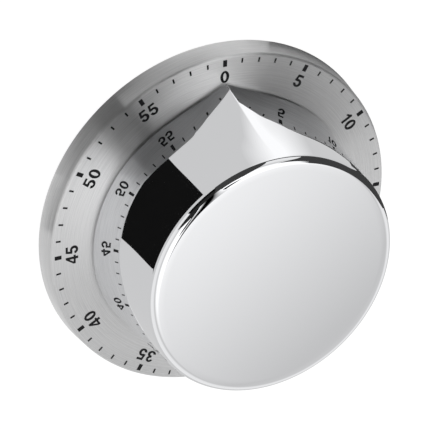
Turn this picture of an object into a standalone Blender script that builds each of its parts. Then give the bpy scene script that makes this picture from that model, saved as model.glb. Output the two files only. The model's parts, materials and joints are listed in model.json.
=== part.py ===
"""Clockwork kitchen timer lying on its back, +Z out of the dial, the 0 mark towards +Y.

A thin steel dial case is closed at the back by a plastic cover with three magnets. The cover carries
a clockwork movement, which stands inside the hollow turning knob. All sizes below are in millimetres
and are turned into metres where objects are made.
"""
import math

import bmesh
import bpy

MM = 0.001
GAP = 0.3                        # clearance kept between neighbouring pieces

# Dial case
CASE_RADIUS = 39.0               # at the rear rim, the widest place
DIAL_RADIUS = 38.5               # at the front rim
DIAL_Z = 6.2
DIAL_OPENING = 27.0
SHEET = 0.6

# Knob
KNOB_FOOT_Z = DIAL_Z + 0.8
KNOB_RADIUS = 29.6               # of the drum, carried down to the dial
KNOB_TAPER = 0.0992              # loss of radius per unit of height
KNOB_FACE_Z = 30.75              # edge of the flat face
KNOB_DOME = 0.25                 # rise of the face at its centre
KNOB_EDGE = 1.2                  # rounding between wall and face
POINTER_TIP = 32.85              # reach of the pointer from the axis, at the dial
POINTER_NOSE = 0.45              # rounding of its tip
POINTER_HEIGHT = 17.7            # above the dial, where the pointer has run out into the drum
POINTER_PINCH = 0.3              # how narrow the ridge stays as it runs out
KNOB_WALL = 1.6
HUB_RADIUS = 6.0
HUB_BORE = 3.9
HUB_END_Z = 23.2

# Movement frame
PLATE_RADIUS = 23.0
PLATE_SHEET = 0.8
BACK_PLATE_Z = 7.0
FRONT_PLATE_Z = 18.6
PILLAR_CIRCLE = 24.2
PILLAR_ANGLES = (90.0, 210.0, 330.0)
PILLAR_RADIUS = 1.7
EAR_RADIUS = 2.0

# Going train: (teeth, module)
MAIN_TEETH = 60
MAIN_MODULE = 0.4
PINION_TEETH = 10
SECOND_TEETH = 48
SECOND_MODULE = 0.35
THIRD_TEETH = 48
THIRD_MODULE = 0.3
ESCAPE_TEETH = 20
ESCAPE_RADIUS = 5.5


def gear_distance(wheel_teeth, module):
    """Distance between the arbors of a wheel and the pinion that it drives."""
    return 0.5 * module * (wheel_teeth + PINION_TEETH)


def next_place(place, radius, distance):
    """The place further round, at a radius from the knob's axis and a distance from a place."""
    turn = math.acos((place[0] ** 2 + radius ** 2 - distance ** 2) / (2.0 * place[0] * radius))
    return radius, place[1] + math.degrees(turn)


# Arbors: (distance from the knob's axis, bearing in degrees)
SECOND_AT = (gear_distance(MAIN_TEETH, MAIN_MODULE), 150.0)
THIRD_AT = next_place(SECOND_AT, 14.0, gear_distance(SECOND_TEETH, SECOND_MODULE))
ESCAPE_AT = next_place(THIRD_AT, 16.8, gear_distance(THIRD_TEETH, THIRD_MODULE))
ANCHOR_AT = next_place(ESCAPE_AT, 18.0, 7.8)
HAMMER_AT = (15.0, 15.0)
TRIP_AT = (19.5, 66.0)
HAMMER_HEAD_AT = (17.9, 33.45)
STOP_PIN_AT = (10.9, 90.0)
STOP_POST_AT = (10.9, 96.0)      # the pin runs clockwise from here and comes back
PALLET_PINS = ((2.6, -3.45), (2.6, 3.45))   # from the anchor's arbor, towards the escape wheel and aside
PALLET_RADIUS = 0.28
ARBOR_RADIUS = 0.6
PIVOT_HOLE = 0.9
MAIN_ARBOR_RADIUS = 1.6
MAIN_BORE = MAIN_ARBOR_RADIUS + GAP

# Levels, each (bottom, top)
MAIN_WHEEL_Z = (8.7, 9.7)
RATCHET_Z = (10.1, 10.8)
MAINSPRING_Z = (11.3, 14.9)
SECOND_WHEEL_Z = (15.6, 16.2)
THIRD_WHEEL_Z = (17.1, 17.6)
ESCAPE_WHEEL_Z = (12.0, 12.6)
ANCHOR_Z = (13.1, 13.8)
BALANCE_Z = (9.6, 10.8)
HAMMER_Z = (4.6, 5.4)
HAMMER_TAIL_Z = (12.4, 13.1)
HAMMER_TAIL_TURN = 68.75         # degrees from the arm round to the tail
CAM_Z = (20.0, 20.9)
CAM_RADIUS = 15.0
CAM_NOTCH_BEARING = 38.0

# Bell and back
BELL_RADIUS = 21.3
BELL_Z = 3.2
BELL_RIM_Z = 6.4
BELL_SHEET = 0.7
COVER_RADIUS = 37.3
COVER_Z = (0.9, 2.3)
MAGNET_CIRCLE = 29.5
MAGNET_ANGLES = (30.0, 150.0, 270.0)
MAGNET_RADIUS = 3.6
PAD_RADII = (33.9, 36.1)

STEEL = ((0.62, 0.63, 0.65), 0.3, 1.0)
BRUSHED = ((0.6, 0.6, 0.61), 0.35, 1.0)
CHROME = ((0.86, 0.87, 0.89), 0.04, 1.0)
BRASS = ((0.72, 0.53, 0.24), 0.3, 1.0)
SPRING_STEEL = ((0.23, 0.25, 0.3), 0.35, 1.0)
BLACK_PLASTIC = ((0.025, 0.025, 0.028), 0.45, 0.0)
RUBBER = ((0.03, 0.03, 0.03), 0.85, 0.0)
FERRITE = ((0.07, 0.07, 0.075), 0.6, 0.0)


# ---------------------------------------------------------------- plumbing

def clear_scene():
    for obj in list(bpy.data.objects):
        bpy.data.objects.remove(obj, do_unlink=True)


def new_collection(name):
    collection = bpy.data.collections.new(name)
    bpy.context.scene.collection.children.link(collection)
    return collection


def material(name, look):
    colour, roughness, metallic = look
    mat = bpy.data.materials.new(name)
    mat.use_nodes = True
    shader = mat.node_tree.nodes["Principled BSDF"]
    shader.inputs["Base Color"].default_value = (*colour, 1.0)
    shader.inputs["Roughness"].default_value = roughness
    shader.inputs["Metallic"].default_value = metallic
    return mat


def polar(place):
    """Turn (radius, bearing in degrees) into x and y in millimetres."""
    radius, bearing = place
    angle = math.radians(bearing)
    return radius * math.cos(angle), radius * math.sin(angle)


def rotated(points, degrees):
    """Turn flat points about the origin."""
    turn = math.radians(degrees)
    return [(x * math.cos(turn) - y * math.sin(turn), x * math.sin(turn) + y * math.cos(turn))
            for x, y in points]


def add_part(name, mesh, look, parent=None, at=(0.0, 0.0)):
    """Make a part whose mesh is drawn around its own axis, standing at the point at."""
    obj = bpy.data.objects.new(name, mesh)
    PARTS.objects.link(obj)
    mesh.materials.clear()
    mesh.materials.append(material(name, look))
    obj.location = (at[0] * MM, at[1] * MM, 0.0)
    if parent is not None:
        obj.parent = parent
        obj.location = (0.0, 0.0, 0.0)
    mesh.shade_smooth()
    mesh.set_sharp_from_angle(angle=math.radians(32))
    return obj


def axis_empty(name, place):
    """An empty on a joint's axis, which the pieces of one moving body hang from."""
    empty = bpy.data.objects.new(name, None)
    empty.empty_display_size = 0.004
    x, y = polar(place)
    empty.location = (x * MM, y * MM, 0.0)
    PARTS.objects.link(empty)
    return empty


def cutter_of(mesh, at=(0.0, 0.0)):
    obj = bpy.data.objects.new("cutter", mesh)
    CUTTERS.objects.link(obj)
    obj.location = (at[0] * MM, at[1] * MM, 0.0)
    obj.hide_render = True
    obj.display_type = "WIRE"
    return obj


def boolean(obj, operation, tool):
    if tool.parent is None and obj.parent is not None:
        tool.parent = obj.parent
        tool.location = (0.0, 0.0, 0.0)
    modifier = obj.modifiers.new(operation.lower(), "BOOLEAN")
    modifier.operation = operation
    modifier.solver = "EXACT"
    modifier.object = tool


# ---------------------------------------------------------------- outlines and meshes

def circle(radius, steps=24, centre=(0.0, 0.0), start=0.0):
    """A closed ring of points."""
    points = []
    for i in range(steps):
        angle = start + 2.0 * math.pi * i / steps
        points.append((centre[0] + radius * math.cos(angle), centre[1] + radius * math.sin(angle)))
    return points


def arc(radius, first, last, steps, centre=(0.0, 0.0)):
    """Points on an arc between two bearings in degrees, both ends included."""
    points = []
    for i in range(steps + 1):
        angle = math.radians(first + (last - first) * i / steps)
        points.append((centre[0] + radius * math.cos(angle), centre[1] + radius * math.sin(angle)))
    return points


def flat_mesh(name, loops, bottom, top):
    """A flat piece: an outline and its holes, filled and given thickness by a 2D curve."""
    curve = bpy.data.curves.new(name, "CURVE")
    curve.dimensions = "2D"
    curve.fill_mode = "BOTH"
    curve.extrude = 0.5 * (top - bottom) * MM
    for loop in loops:
        spline = curve.splines.new("POLY")
        spline.points.add(len(loop) - 1)
        spline.use_cyclic_u = True
        for point, (x, y) in zip(spline.points, loop):
            point.co = (x * MM, y * MM, 0.0, 1.0)
    mesh = mesh_of_curve(name, curve)
    for vertex in mesh.vertices:
        vertex.co.z += 0.5 * (top + bottom) * MM
    return mesh


def mesh_of_curve(name, curve):
    holder = bpy.data.objects.new(name, curve)
    bpy.context.scene.collection.objects.link(holder)
    evaluated = holder.evaluated_get(bpy.context.evaluated_depsgraph_get())
    mesh = bpy.data.meshes.new_from_object(evaluated)
    bpy.data.objects.remove(holder, do_unlink=True)
    bpy.data.curves.remove(curve)
    weld = bmesh.new()
    weld.from_mesh(mesh)
    bmesh.ops.remove_doubles(weld, verts=weld.verts, dist=1e-6)
    bmesh.ops.recalc_face_normals(weld, faces=weld.faces)
    weld.to_mesh(mesh)
    weld.free()
    mesh.name = name
    return mesh


def wire_mesh(name, points, radius):
    """A round wire along a list of (x, y, z) points."""
    curve = bpy.data.curves.new(name, "CURVE")
    curve.dimensions = "3D"
    curve.bevel_depth = radius * MM
    curve.bevel_resolution = 2
    curve.use_fill_caps = True
    spline = curve.splines.new("POLY")
    spline.points.add(len(points) - 1)
    for point, (x, y, z) in zip(spline.points, points):
        point.co = (x * MM, y * MM, z * MM, 1.0)
    return mesh_of_curve(name, curve)


def turned(name, profile, look, steps=32, ring=False, parent=None, at=(0.0, 0.0)):
    """A turned piece. The profile, (radius, z), runs down the outer side; a ring closes on itself."""
    mesh = bpy.data.meshes.new(name)
    points = [(r * MM, 0.0, z * MM) for r, z in profile]
    edges = [(i, i + 1) for i in range(len(points) - 1)]
    if ring:
        edges.append((len(points) - 1, 0))
    mesh.from_pydata(points, edges, [])
    obj = add_part(name, mesh, look, parent, at)
    screw = obj.modifiers.new("turn", "SCREW")
    screw.steps = steps
    screw.render_steps = steps
    screw.use_merge_vertices = True
    screw.merge_threshold = 1e-6
    screw.use_smooth_shade = True
    return obj


def shaft_profile(*sections):
    """Profile of a stepped shaft, from (radius, top z) sections listed downwards and a last bottom z."""
    bottom = sections[-1]
    steps = sections[:-1]
    chamfer = 0.15
    profile = [(0.0, steps[0][1]), (steps[0][0] - chamfer, steps[0][1]), (steps[0][0], steps[0][1] - chamfer)]
    for (radius, _), (next_radius, next_top) in zip(steps, steps[1:]):
        profile += [(radius, next_top), (next_radius, next_top)]
    last = steps[-1][0]
    profile += [(last, bottom + chamfer), (last - chamfer, bottom), (0.0, bottom)]
    return profile


def shaft(name, look, *sections, steps=16, parent=None, at=(0.0, 0.0)):
    return turned(name, shaft_profile(*sections), look, steps=steps, parent=parent, at=at)


def ring_part(name, look, inner, outer, bottom, top, chamfer=0.12, steps=32, parent=None, at=(0.0, 0.0)):
    profile = [(inner, top), (outer - chamfer, top), (outer, top - chamfer), (outer, bottom + chamfer),
               (outer - chamfer, bottom), (inner, bottom)]
    return turned(name, profile, look, steps=steps, ring=True, parent=parent, at=at)


def cylinder_mesh(radius, bottom, top, steps=24):
    mesh = bpy.data.meshes.new("cylinder")
    body = bmesh.new()
    bmesh.ops.create_cone(body, cap_ends=True, segments=steps, radius1=radius * MM, radius2=radius * MM,
                          depth=(top - bottom) * MM)
    bmesh.ops.translate(body, verts=body.verts, vec=(0.0, 0.0, 0.5 * (top + bottom) * MM))
    body.to_mesh(mesh)
    body.free()
    return mesh


# ---------------------------------------------------------------- gears

def gear_outline(teeth, module, phase, root_width=0.58, tip_width=0.2, addendum=0.9, dedendum=1.25):
    """Straight-sided teeth, widths as shares of the pitch; phase is the bearing of the middle of a tooth."""
    pitch_radius = 0.5 * teeth * module
    step = 360.0 / teeth
    corners = ((pitch_radius - dedendum * module, -0.5 * root_width),
               (pitch_radius + addendum * module, -0.5 * tip_width),
               (pitch_radius + addendum * module, 0.5 * tip_width),
               (pitch_radius - dedendum * module, 0.5 * root_width))
    outline = []
    for tooth in range(teeth):
        for radius, share in corners:
            outline.append(polar((radius, phase + step * (tooth + share))))
    return outline


def spoke_windows(count, inner, outer, spoke, phase=0.0):
    """Openings between the spokes of a wheel; spoke is the width of one spoke."""
    windows = []
    for i in range(count):
        first = phase + 360.0 * i / count
        last = first + 360.0 / count
        trim_in = math.degrees(0.5 * spoke / inner)
        trim_out = math.degrees(0.5 * spoke / outer)
        windows.append(arc(outer, first + trim_out, last - trim_out, 6)
                       + arc(inner, last - trim_in, first + trim_in, 4))
    return windows


def bearing_between(start, end):
    x0, y0 = polar(start)
    x1, y1 = polar(end)
    return math.degrees(math.atan2(y1 - y0, x1 - x0))


def distance_between(start, end):
    return math.dist(polar(start), polar(end))


def gear_wheel(name, teeth, module, phase, levels, bore, spokes, parent):
    pitch_radius = 0.5 * teeth * module
    loops = [gear_outline(teeth, module, phase), circle(bore, 16)]
    loops += spoke_windows(spokes, bore + 1.1, pitch_radius - 1.25 * module - 0.9, 1.0)
    return add_part(name, flat_mesh(name, loops, *levels), BRASS, parent)


def pinion(name, module, phase, levels, parent):
    outline = gear_outline(PINION_TEETH, module, phase, root_width=0.46, addendum=0.7, dedendum=1.2)
    loops = [outline, circle(PIVOT_HOLE, 12)]
    return add_part(name, flat_mesh(name, loops, *levels), STEEL, parent)


# ---------------------------------------------------------------- base

def make_dial_case():
    """A pressed dish: a drawn collar round the opening, the dial, a rounded rim and a rolled-in lip."""
    lip_z = 0.62
    collar_z = DIAL_Z + 1.8
    profile = [
        (DIAL_OPENING, collar_z), (DIAL_OPENING + 0.5, collar_z), (DIAL_OPENING + 0.5, DIAL_Z + 0.3),
        (DIAL_OPENING + 0.8, DIAL_Z), (DIAL_RADIUS - 0.75, DIAL_Z), (DIAL_RADIUS - 0.35, DIAL_Z - 0.1),
        (DIAL_RADIUS - 0.08, DIAL_Z - 0.32), (DIAL_RADIUS, DIAL_Z - 0.6),
        (CASE_RADIUS, lip_z + 0.45), (CASE_RADIUS - 0.12, lip_z + 0.13), (CASE_RADIUS - 0.4, lip_z),
        (COVER_RADIUS + GAP, lip_z), (COVER_RADIUS + GAP, lip_z + 0.35),
        (CASE_RADIUS - SHEET, lip_z + 0.75), (DIAL_RADIUS - SHEET, DIAL_Z - 0.9),
        (DIAL_RADIUS - SHEET - 0.3, DIAL_Z - SHEET), (DIAL_OPENING + 0.4, DIAL_Z - SHEET),
        (DIAL_OPENING, DIAL_Z - 0.2),
    ]
    return turned("dial_case", profile, BRUSHED, steps=64, ring=True)


def make_back_cover():
    floor, inside = COVER_Z
    groove = (PAD_RADII[0] - GAP, PAD_RADII[1] + GAP)
    profile = [(0.0, inside), (34.9, inside), (34.9, 5.2), (36.8, 5.2), (36.8, inside - 0.2),
               (COVER_RADIUS, inside - 0.5), (COVER_RADIUS, floor), (groove[1], floor),
               (groove[1], floor + 0.6), (groove[0], floor + 0.6), (groove[0], floor), (0.0, floor)]
    cover = turned("back_cover", profile, BLACK_PLASTIC, steps=54)
    for bearing in MAGNET_ANGLES:
        spot = polar((MAGNET_CIRCLE, bearing))
        boolean(cover, "UNION", cutter_of(cylinder_mesh(MAGNET_RADIUS + 1.1, 1.6, 4.4, 20), spot))
        boolean(cover, "DIFFERENCE", cutter_of(cylinder_mesh(MAGNET_RADIUS + GAP, 0.0, 3.2, 20), spot))
    for bearing in PILLAR_ANGLES:
        spot = polar((PILLAR_CIRCLE, bearing))
        boolean(cover, "UNION", cutter_of(cylinder_mesh(2.5, 1.6, BACK_PLATE_Z - GAP, 16), spot))
        boolean(cover, "DIFFERENCE", cutter_of(cylinder_mesh(1.2, 0.0, 8.0, 12), spot))
        boolean(cover, "DIFFERENCE", cutter_of(cylinder_mesh(1.95, 0.0, 3.0, 16), spot))
    return cover


def make_pad_and_magnets():
    ring_part("rubber_pad", RUBBER, *PAD_RADII, 0.0, COVER_Z[0] + 0.6 - GAP, chamfer=0.25, steps=48)
    for number, bearing in enumerate(MAGNET_ANGLES, start=1):
        shaft(f"magnet_{number}", FERRITE, (MAGNET_RADIUS, 2.9), 0.25, steps=20,
              at=polar((MAGNET_CIRCLE, bearing)))


def slot_cut(obj, width, length, bottom, top):
    """Cut a straight screwdriver slot across an object's own axis."""
    half_width = 0.5 * width
    half_length = 0.5 * length
    loop = [(-half_length, -half_width), (half_length, -half_width), (half_length, half_width),
            (-half_length, half_width)]
    cutter = cutter_of(flat_mesh("slot", [loop], bottom, top))
    cutter.location = obj.location
    boolean(obj, "DIFFERENCE", cutter)


def make_fasteners():
    """Screws come up from the back into the pillars; nuts hold the front plate down."""
    for number, bearing in enumerate(PILLAR_ANGLES, start=1):
        spot = polar((PILLAR_CIRCLE, bearing))
        shank_top = BACK_PLATE_Z + PLATE_SHEET + 3.2
        screw = turned(f"back_screw_{number}", [
            (0.0, shank_top), (0.7, shank_top), (0.9, shank_top - 0.2), (0.9, 2.7), (1.6, 2.7), (1.6, 1.5),
            (1.3, 1.2), (0.0, 1.2)], STEEL, steps=16, at=spot)
        slot_cut(screw, 0.5, 5.0, 0.5, 1.75)
        pillar_bottom = BACK_PLATE_Z + PLATE_SHEET + GAP
        turned(f"plate_pillar_{number}", [
            (0.0, 20.5), (0.75, 20.5), (0.9, 20.3), (0.9, FRONT_PLATE_Z - GAP),
            (PILLAR_RADIUS, FRONT_PLATE_Z - GAP), (PILLAR_RADIUS, pillar_bottom), (1.2, pillar_bottom),
            (1.2, shank_top + GAP), (0.0, shank_top + GAP)], STEEL, steps=14, at=spot)
        nut = flat_mesh(f"pillar_nut_{number}", [circle(1.85, 6), circle(1.2, 16)],
                        FRONT_PLATE_Z + PLATE_SHEET + GAP, 20.6)
        add_part(f"pillar_nut_{number}", nut, BRASS, at=spot)


def eared_outline():
    """A disc with three rounded ears that reach over the pillars."""
    half_bearing = math.acos((PLATE_RADIUS ** 2 + PILLAR_CIRCLE ** 2 - EAR_RADIUS ** 2)
                             / (2.0 * PLATE_RADIUS * PILLAR_CIRCLE))
    half_ear = math.atan2(PLATE_RADIUS * math.sin(half_bearing),
                          PLATE_RADIUS * math.cos(half_bearing) - PILLAR_CIRCLE)
    rim = math.degrees(half_bearing)
    ear = math.degrees(half_ear)
    outline = []
    for bearing in PILLAR_ANGLES:
        centre = polar((PILLAR_CIRCLE, bearing))
        outline += arc(EAR_RADIUS, bearing - ear, bearing + ear, 8, centre)
        outline += arc(PLATE_RADIUS, bearing + rim, bearing + 120.0 - rim, 14)[1:-1]
    return outline


def make_plates():
    pivots = [SECOND_AT, THIRD_AT, ESCAPE_AT, ANCHOR_AT, HAMMER_AT]
    holes = [circle(PIVOT_HOLE, 12, polar(place)) for place in pivots]
    holes += [circle(1.2, 16, polar((PILLAR_CIRCLE, bearing))) for bearing in PILLAR_ANGLES]
    back = [eared_outline(), circle(1.55, 20)] + holes
    back_level = (BACK_PLATE_Z, BACK_PLATE_Z + PLATE_SHEET)
    add_part("movement_back_plate", flat_mesh("movement_back_plate", back, *back_level), BRASS)
    front = [eared_outline(), circle(MAIN_BORE + 0.05, 20)] + holes
    front_level = (FRONT_PLATE_Z, FRONT_PLATE_Z + PLATE_SHEET)
    add_part("movement_front_plate", flat_mesh("movement_front_plate", front, *front_level), BRASS)
    shaft("stop_post", STEEL, (0.4, MAIN_WHEEL_Z[0] - GAP), BACK_PLATE_Z + PLATE_SHEET + 0.03, steps=12,
          at=polar(STOP_POST_AT))


def make_bell():
    rim = BELL_RIM_Z
    sheet = BELL_SHEET
    turned("bell", [
        (BELL_RADIUS - sheet, rim), (BELL_RADIUS, rim), (BELL_RADIUS, BELL_Z + 0.9),
        (BELL_RADIUS - 0.3, BELL_Z + 0.3), (BELL_RADIUS - 0.9, BELL_Z), (1.6, BELL_Z),
        (1.6, BELL_Z + sheet), (BELL_RADIUS - 1.1, BELL_Z + sheet), (BELL_RADIUS - sheet, BELL_Z + 1.3)],
        STEEL, steps=44, ring=True)
    turned("bell_post", [
        (0.0, BACK_PLATE_Z - GAP), (2.2, BACK_PLATE_Z - GAP), (2.2, BELL_Z + sheet + GAP),
        (1.25, BELL_Z + sheet + GAP), (1.25, BELL_Z + 0.1), (0.0, BELL_Z + 0.1)], BRASS, steps=20)
    turned("bell_screw", [(0.0, BELL_Z - 0.2), (2.6, BELL_Z - 0.2), (2.8, BELL_Z - 0.35),
                                  (2.8, BELL_Z - 0.6), (0.0, BELL_Z - 0.6)], STEEL, steps=20)


def spiral_outline(inner, outer, turns, thickness, steps_per_turn=18):
    """A strip wound into a flat spiral, as one closed outline."""
    count = int(turns * steps_per_turn)
    outside = []
    inside = []
    for i in range(count + 1):
        share = i / count
        bearing = 360.0 * turns * share
        radius = inner + (outer - inner) * share
        outside.append(polar((radius + 0.5 * thickness, bearing)))
        inside.append(polar((radius - 0.5 * thickness, bearing)))
    return outside + inside[::-1]


def make_mainspring():
    outline = spiral_outline(4.0, 10.2, 5.5, 0.35)
    add_part("mainspring", flat_mesh("mainspring", [outline], *MAINSPRING_Z), SPRING_STEEL)


def coil_points(radius, bottom, top, turns, steps_per_turn=10):
    count = int(turns * steps_per_turn)
    points = []
    for i in range(count + 1):
        x, y = polar((radius, 360.0 * i / steps_per_turn))
        points.append((x, y, bottom + (top - bottom) * i / count))
    return points


def make_coil_springs():
    hammer_coil = wire_mesh("hammer_spring", coil_points(1.5, 8.6, 10.6, 3.0), 0.2)
    add_part("hammer_spring", hammer_coil, SPRING_STEEL, at=polar(HAMMER_AT))
    trip_coil = wire_mesh("trip_spring", coil_points(1.25, 21.45, 22.35, 2.0), 0.16)
    add_part("trip_spring", trip_coil, SPRING_STEEL, at=polar(TRIP_AT))


# ---------------------------------------------------------------- knob

def knob_radius_at(height):
    return KNOB_RADIUS - KNOB_TAPER * height


def knob_section(height, tip_steps=2, flank_steps=6, drum_steps=26):
    """Half of the knob's outline at a height above the dial, from the pointer round to the far side.

    The foot is a drum with flanks that meet in a pointer. Above it each point moves straight towards a
    circle, which it reaches where the pointer has run out.
    """
    nose_centre = POINTER_TIP - POINTER_NOSE
    tangent = math.acos((KNOB_RADIUS - POINTER_NOSE) / nose_centre)
    foot = []
    target = []
    nose_length = POINTER_NOSE * tangent
    flank_length = nose_centre * math.sin(tangent)
    for i in range(tip_steps + 1):
        angle = tangent * i / tip_steps
        foot.append((POINTER_NOSE * math.sin(angle), nose_centre + POINTER_NOSE * math.cos(angle)))
        target.append(nose_length * i / tip_steps / (nose_length + flank_length))
    end = (KNOB_RADIUS * math.sin(tangent), KNOB_RADIUS * math.cos(tangent))
    start = foot[-1]
    for i in range(1, flank_steps + 1):
        share = i / flank_steps
        foot.append((start[0] + (end[0] - start[0]) * share, start[1] + (end[1] - start[1]) * share))
        target.append((nose_length + flank_length * share) / (nose_length + flank_length))
    bearings = [POINTER_PINCH * tangent * share for share in target]
    first = POINTER_PINCH * tangent
    for i in range(1, drum_steps + 1):
        share = i / drum_steps
        angle = tangent + (math.pi - tangent) * share
        foot.append((KNOB_RADIUS * math.sin(angle), KNOB_RADIUS * math.cos(angle)))
        bearings.append(first + (math.pi - first) * share)
    radius = knob_radius_at(height)
    blend = min(height / POINTER_HEIGHT, 1.0)
    section = []
    for (x, y), bearing in zip(foot, bearings):
        scale = (1.0 - blend) * radius / KNOB_RADIUS
        section.append((x * scale + blend * radius * math.sin(bearing),
                        y * scale + blend * radius * math.cos(bearing)))
    return section


def whole_ring(half):
    """Mirror half an outline about the pointer's axis into a closed ring."""
    return half + [(-x, y) for x, y in half[-2:0:-1]]


def knob_outside_rings():
    """Rings of the outer skin, (outline, z), from the foot up over the edge to the middle of the face."""
    foot = KNOB_FOOT_Z - DIAL_Z
    wall_top = KNOB_FACE_Z - DIAL_Z - KNOB_EDGE
    rings = []
    steps = 5
    levels = [foot + (POINTER_HEIGHT - foot) * i / steps for i in range(steps + 1)] + [wall_top]
    for height in levels:
        rings.append((whole_ring(knob_section(height)), DIAL_Z + height))
    last = rings[-1][0]
    wall_radius = knob_radius_at(wall_top)
    for angle in (30.0, 60.0, 90.0):
        turn = math.radians(angle)
        radius = wall_radius - KNOB_EDGE * (1.0 - math.cos(turn))
        z = KNOB_FACE_Z - KNOB_EDGE * (1.0 - math.sin(turn))
        rings.append((scaled(last, radius / wall_radius), z))
    share = 0.5
    face_ring = scaled(last, share * (wall_radius - KNOB_EDGE) / wall_radius)
    rings.append((face_ring, KNOB_FACE_Z + KNOB_DOME * (1.0 - share ** 2)))
    return rings


def scaled(ring, factor):
    return [(x * factor, y * factor) for x, y in ring]


def knob_inside_rings(outline):
    """Rings of the hollow, from its mouth up to the ceiling and round the hub down to the bore's end."""
    bearings = [math.atan2(y, x) for x, y in outline]
    ceiling = KNOB_FACE_Z - 1.5
    mouth = KNOB_FOOT_Z
    stages = [(knob_radius_at(mouth - DIAL_Z) - KNOB_WALL, mouth),
              (knob_radius_at(ceiling - DIAL_Z) - KNOB_WALL, ceiling - 1.0),
              (knob_radius_at(ceiling - DIAL_Z) - KNOB_WALL - 1.0, ceiling),
              (HUB_RADIUS + 0.8, ceiling), (HUB_RADIUS, ceiling - 0.8), (HUB_RADIUS, HUB_END_Z),
              (HUB_BORE, HUB_END_Z), (HUB_BORE, ceiling - 0.5)]
    return [([(r * math.cos(b), r * math.sin(b)) for b in bearings], z) for r, z in stages]


def make_knob_shell(parent):
    outer = knob_outside_rings()
    inner = knob_inside_rings(outer[-3][0])
    rings = inner[::-1] + outer
    shell = bmesh.new()
    rows = []
    for outline, z in rings:
        rows.append([shell.verts.new((x * MM, y * MM, z * MM)) for x, y in outline])
    count = len(rows[0])
    for lower, upper in zip(rows, rows[1:]):
        for i in range(count):
            j = (i + 1) % count
            shell.faces.new((lower[i], lower[j], upper[j], upper[i]))
    for row, z in ((rows[0], rings[0][1]), (rows[-1], KNOB_FACE_Z + KNOB_DOME)):
        centre = shell.verts.new((0.0, 0.0, z * MM))
        for i in range(count):
            shell.faces.new((row[i], row[(i + 1) % count], centre))
    bmesh.ops.recalc_face_normals(shell, faces=shell.faces)
    mesh = bpy.data.meshes.new("knob_shell")
    shell.to_mesh(mesh)
    shell.free()
    return add_part("knob_shell", mesh, CHROME, parent)


def make_cam(parent):
    """A disc whose notch lets the trip lever drop when the knob is back at 0."""
    half = 7.0
    outline = arc(CAM_RADIUS, CAM_NOTCH_BEARING + half, CAM_NOTCH_BEARING + 360.0 - half, 44)
    outline += arc(CAM_RADIUS - 2.0, CAM_NOTCH_BEARING - 0.7 * half, CAM_NOTCH_BEARING + 0.7 * half, 4)
    loops = [outline, circle(MAIN_BORE, 20)] + spoke_windows(3, 6.5, 11.5, 4.0)
    add_part("cam_disc", flat_mesh("cam_disc", loops, *CAM_Z), STEEL, parent)
    ring_part("cam_collar", BRASS, MAIN_BORE, 4.2, CAM_Z[1] + GAP, CAM_Z[1] + 1.4, steps=18, parent=parent)


def make_ratchet_and_click(parent):
    teeth = 16
    outline = []
    for i in range(teeth):
        outline.append(polar((4.6, 360.0 * i / teeth)))
        outline.append(polar((3.8, 360.0 * (i + 0.12) / teeth)))
    loops = [outline, circle(MAIN_BORE, 16)]
    add_part("ratchet_wheel", flat_mesh("ratchet_wheel", loops, *RATCHET_Z), STEEL, parent)
    pawl = [(8.3, -1.0), (9.3, -0.2), (9.2, 0.9), (8.2, 1.4), (6.6, 1.2), (5.2, 0.45), (5.15, 0.05),
            (6.6, -0.1)]
    rivet_spot = (8.3, 0.2)
    loops = [pawl, circle(0.65, 12, rivet_spot)]
    add_part("click", flat_mesh("click", loops, *RATCHET_Z), STEEL, parent)
    rivet = shaft("click_rivet", BRASS, (0.9, RATCHET_Z[1] + 0.4), (0.35, RATCHET_Z[1] + 0.1),
                  MAIN_WHEEL_Z[1] + 0.05, steps=12, parent=parent)
    rivet.location = (rivet_spot[0] * MM, rivet_spot[1] * MM, 0.0)


def make_knob_body():
    """Everything that turns with the knob: shell, bush, arbor, cam and main wheel."""
    hub = axis_empty("knob_axis", (0.0, 0.0))
    make_knob_shell(hub)
    ring_part("hub_bush", BRASS, MAIN_BORE, HUB_BORE - GAP, HUB_END_Z + 0.2, 28.4, steps=18, parent=hub)
    shaft("main_arbor", STEEL, (MAIN_ARBOR_RADIUS, 28.0), (1.2, MAIN_WHEEL_Z[0] - 0.4), BACK_PLATE_Z + 0.1,
          steps=20, parent=hub)
    make_cam(hub)
    make_ratchet_and_click(hub)
    ring_part("spring_hub", BRASS, MAIN_BORE, 3.3, *MAINSPRING_Z, steps=18, parent=hub)
    phase = bearing_between((0.0, 0.0), SECOND_AT)
    gear_wheel("main_wheel", MAIN_TEETH, MAIN_MODULE, phase, MAIN_WHEEL_Z, MAIN_BORE, 5, hub)
    stop = shaft("stop_pin", STEEL, (0.4, MAIN_WHEEL_Z[0] - 0.03), BACK_PLATE_Z + PLATE_SHEET + GAP, steps=12,
                 parent=hub)
    x, y = polar(STOP_PIN_AT)
    stop.location = (x * MM, y * MM, 0.0)


# ---------------------------------------------------------------- going train and bell work

def make_wheel_set(label, place, module, levels, mesh_with):
    """One arbor with its pinion and its wheel, on an empty at its own axis."""
    axis = axis_empty(f"{label}_axis", place)
    shaft(f"{label}_arbor", STEEL, (ARBOR_RADIUS, FRONT_PLATE_Z + PLATE_SHEET - 0.1), BACK_PLATE_Z + 0.1,
          steps=12, parent=axis)
    towards = bearing_between(place, mesh_with)
    pinion(f"{label}_pinion", module, towards + 180.0 / PINION_TEETH, levels, axis)
    return axis


def make_second_set():
    levels = (MAIN_WHEEL_Z[0] - 0.2, MAIN_WHEEL_Z[1] + 0.2)
    axis = make_wheel_set("second", SECOND_AT, MAIN_MODULE, levels, (0.0, 0.0))
    gear_wheel("second_wheel", SECOND_TEETH, SECOND_MODULE, bearing_between(SECOND_AT, THIRD_AT),
               SECOND_WHEEL_Z, PIVOT_HOLE, 4, axis)


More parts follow.
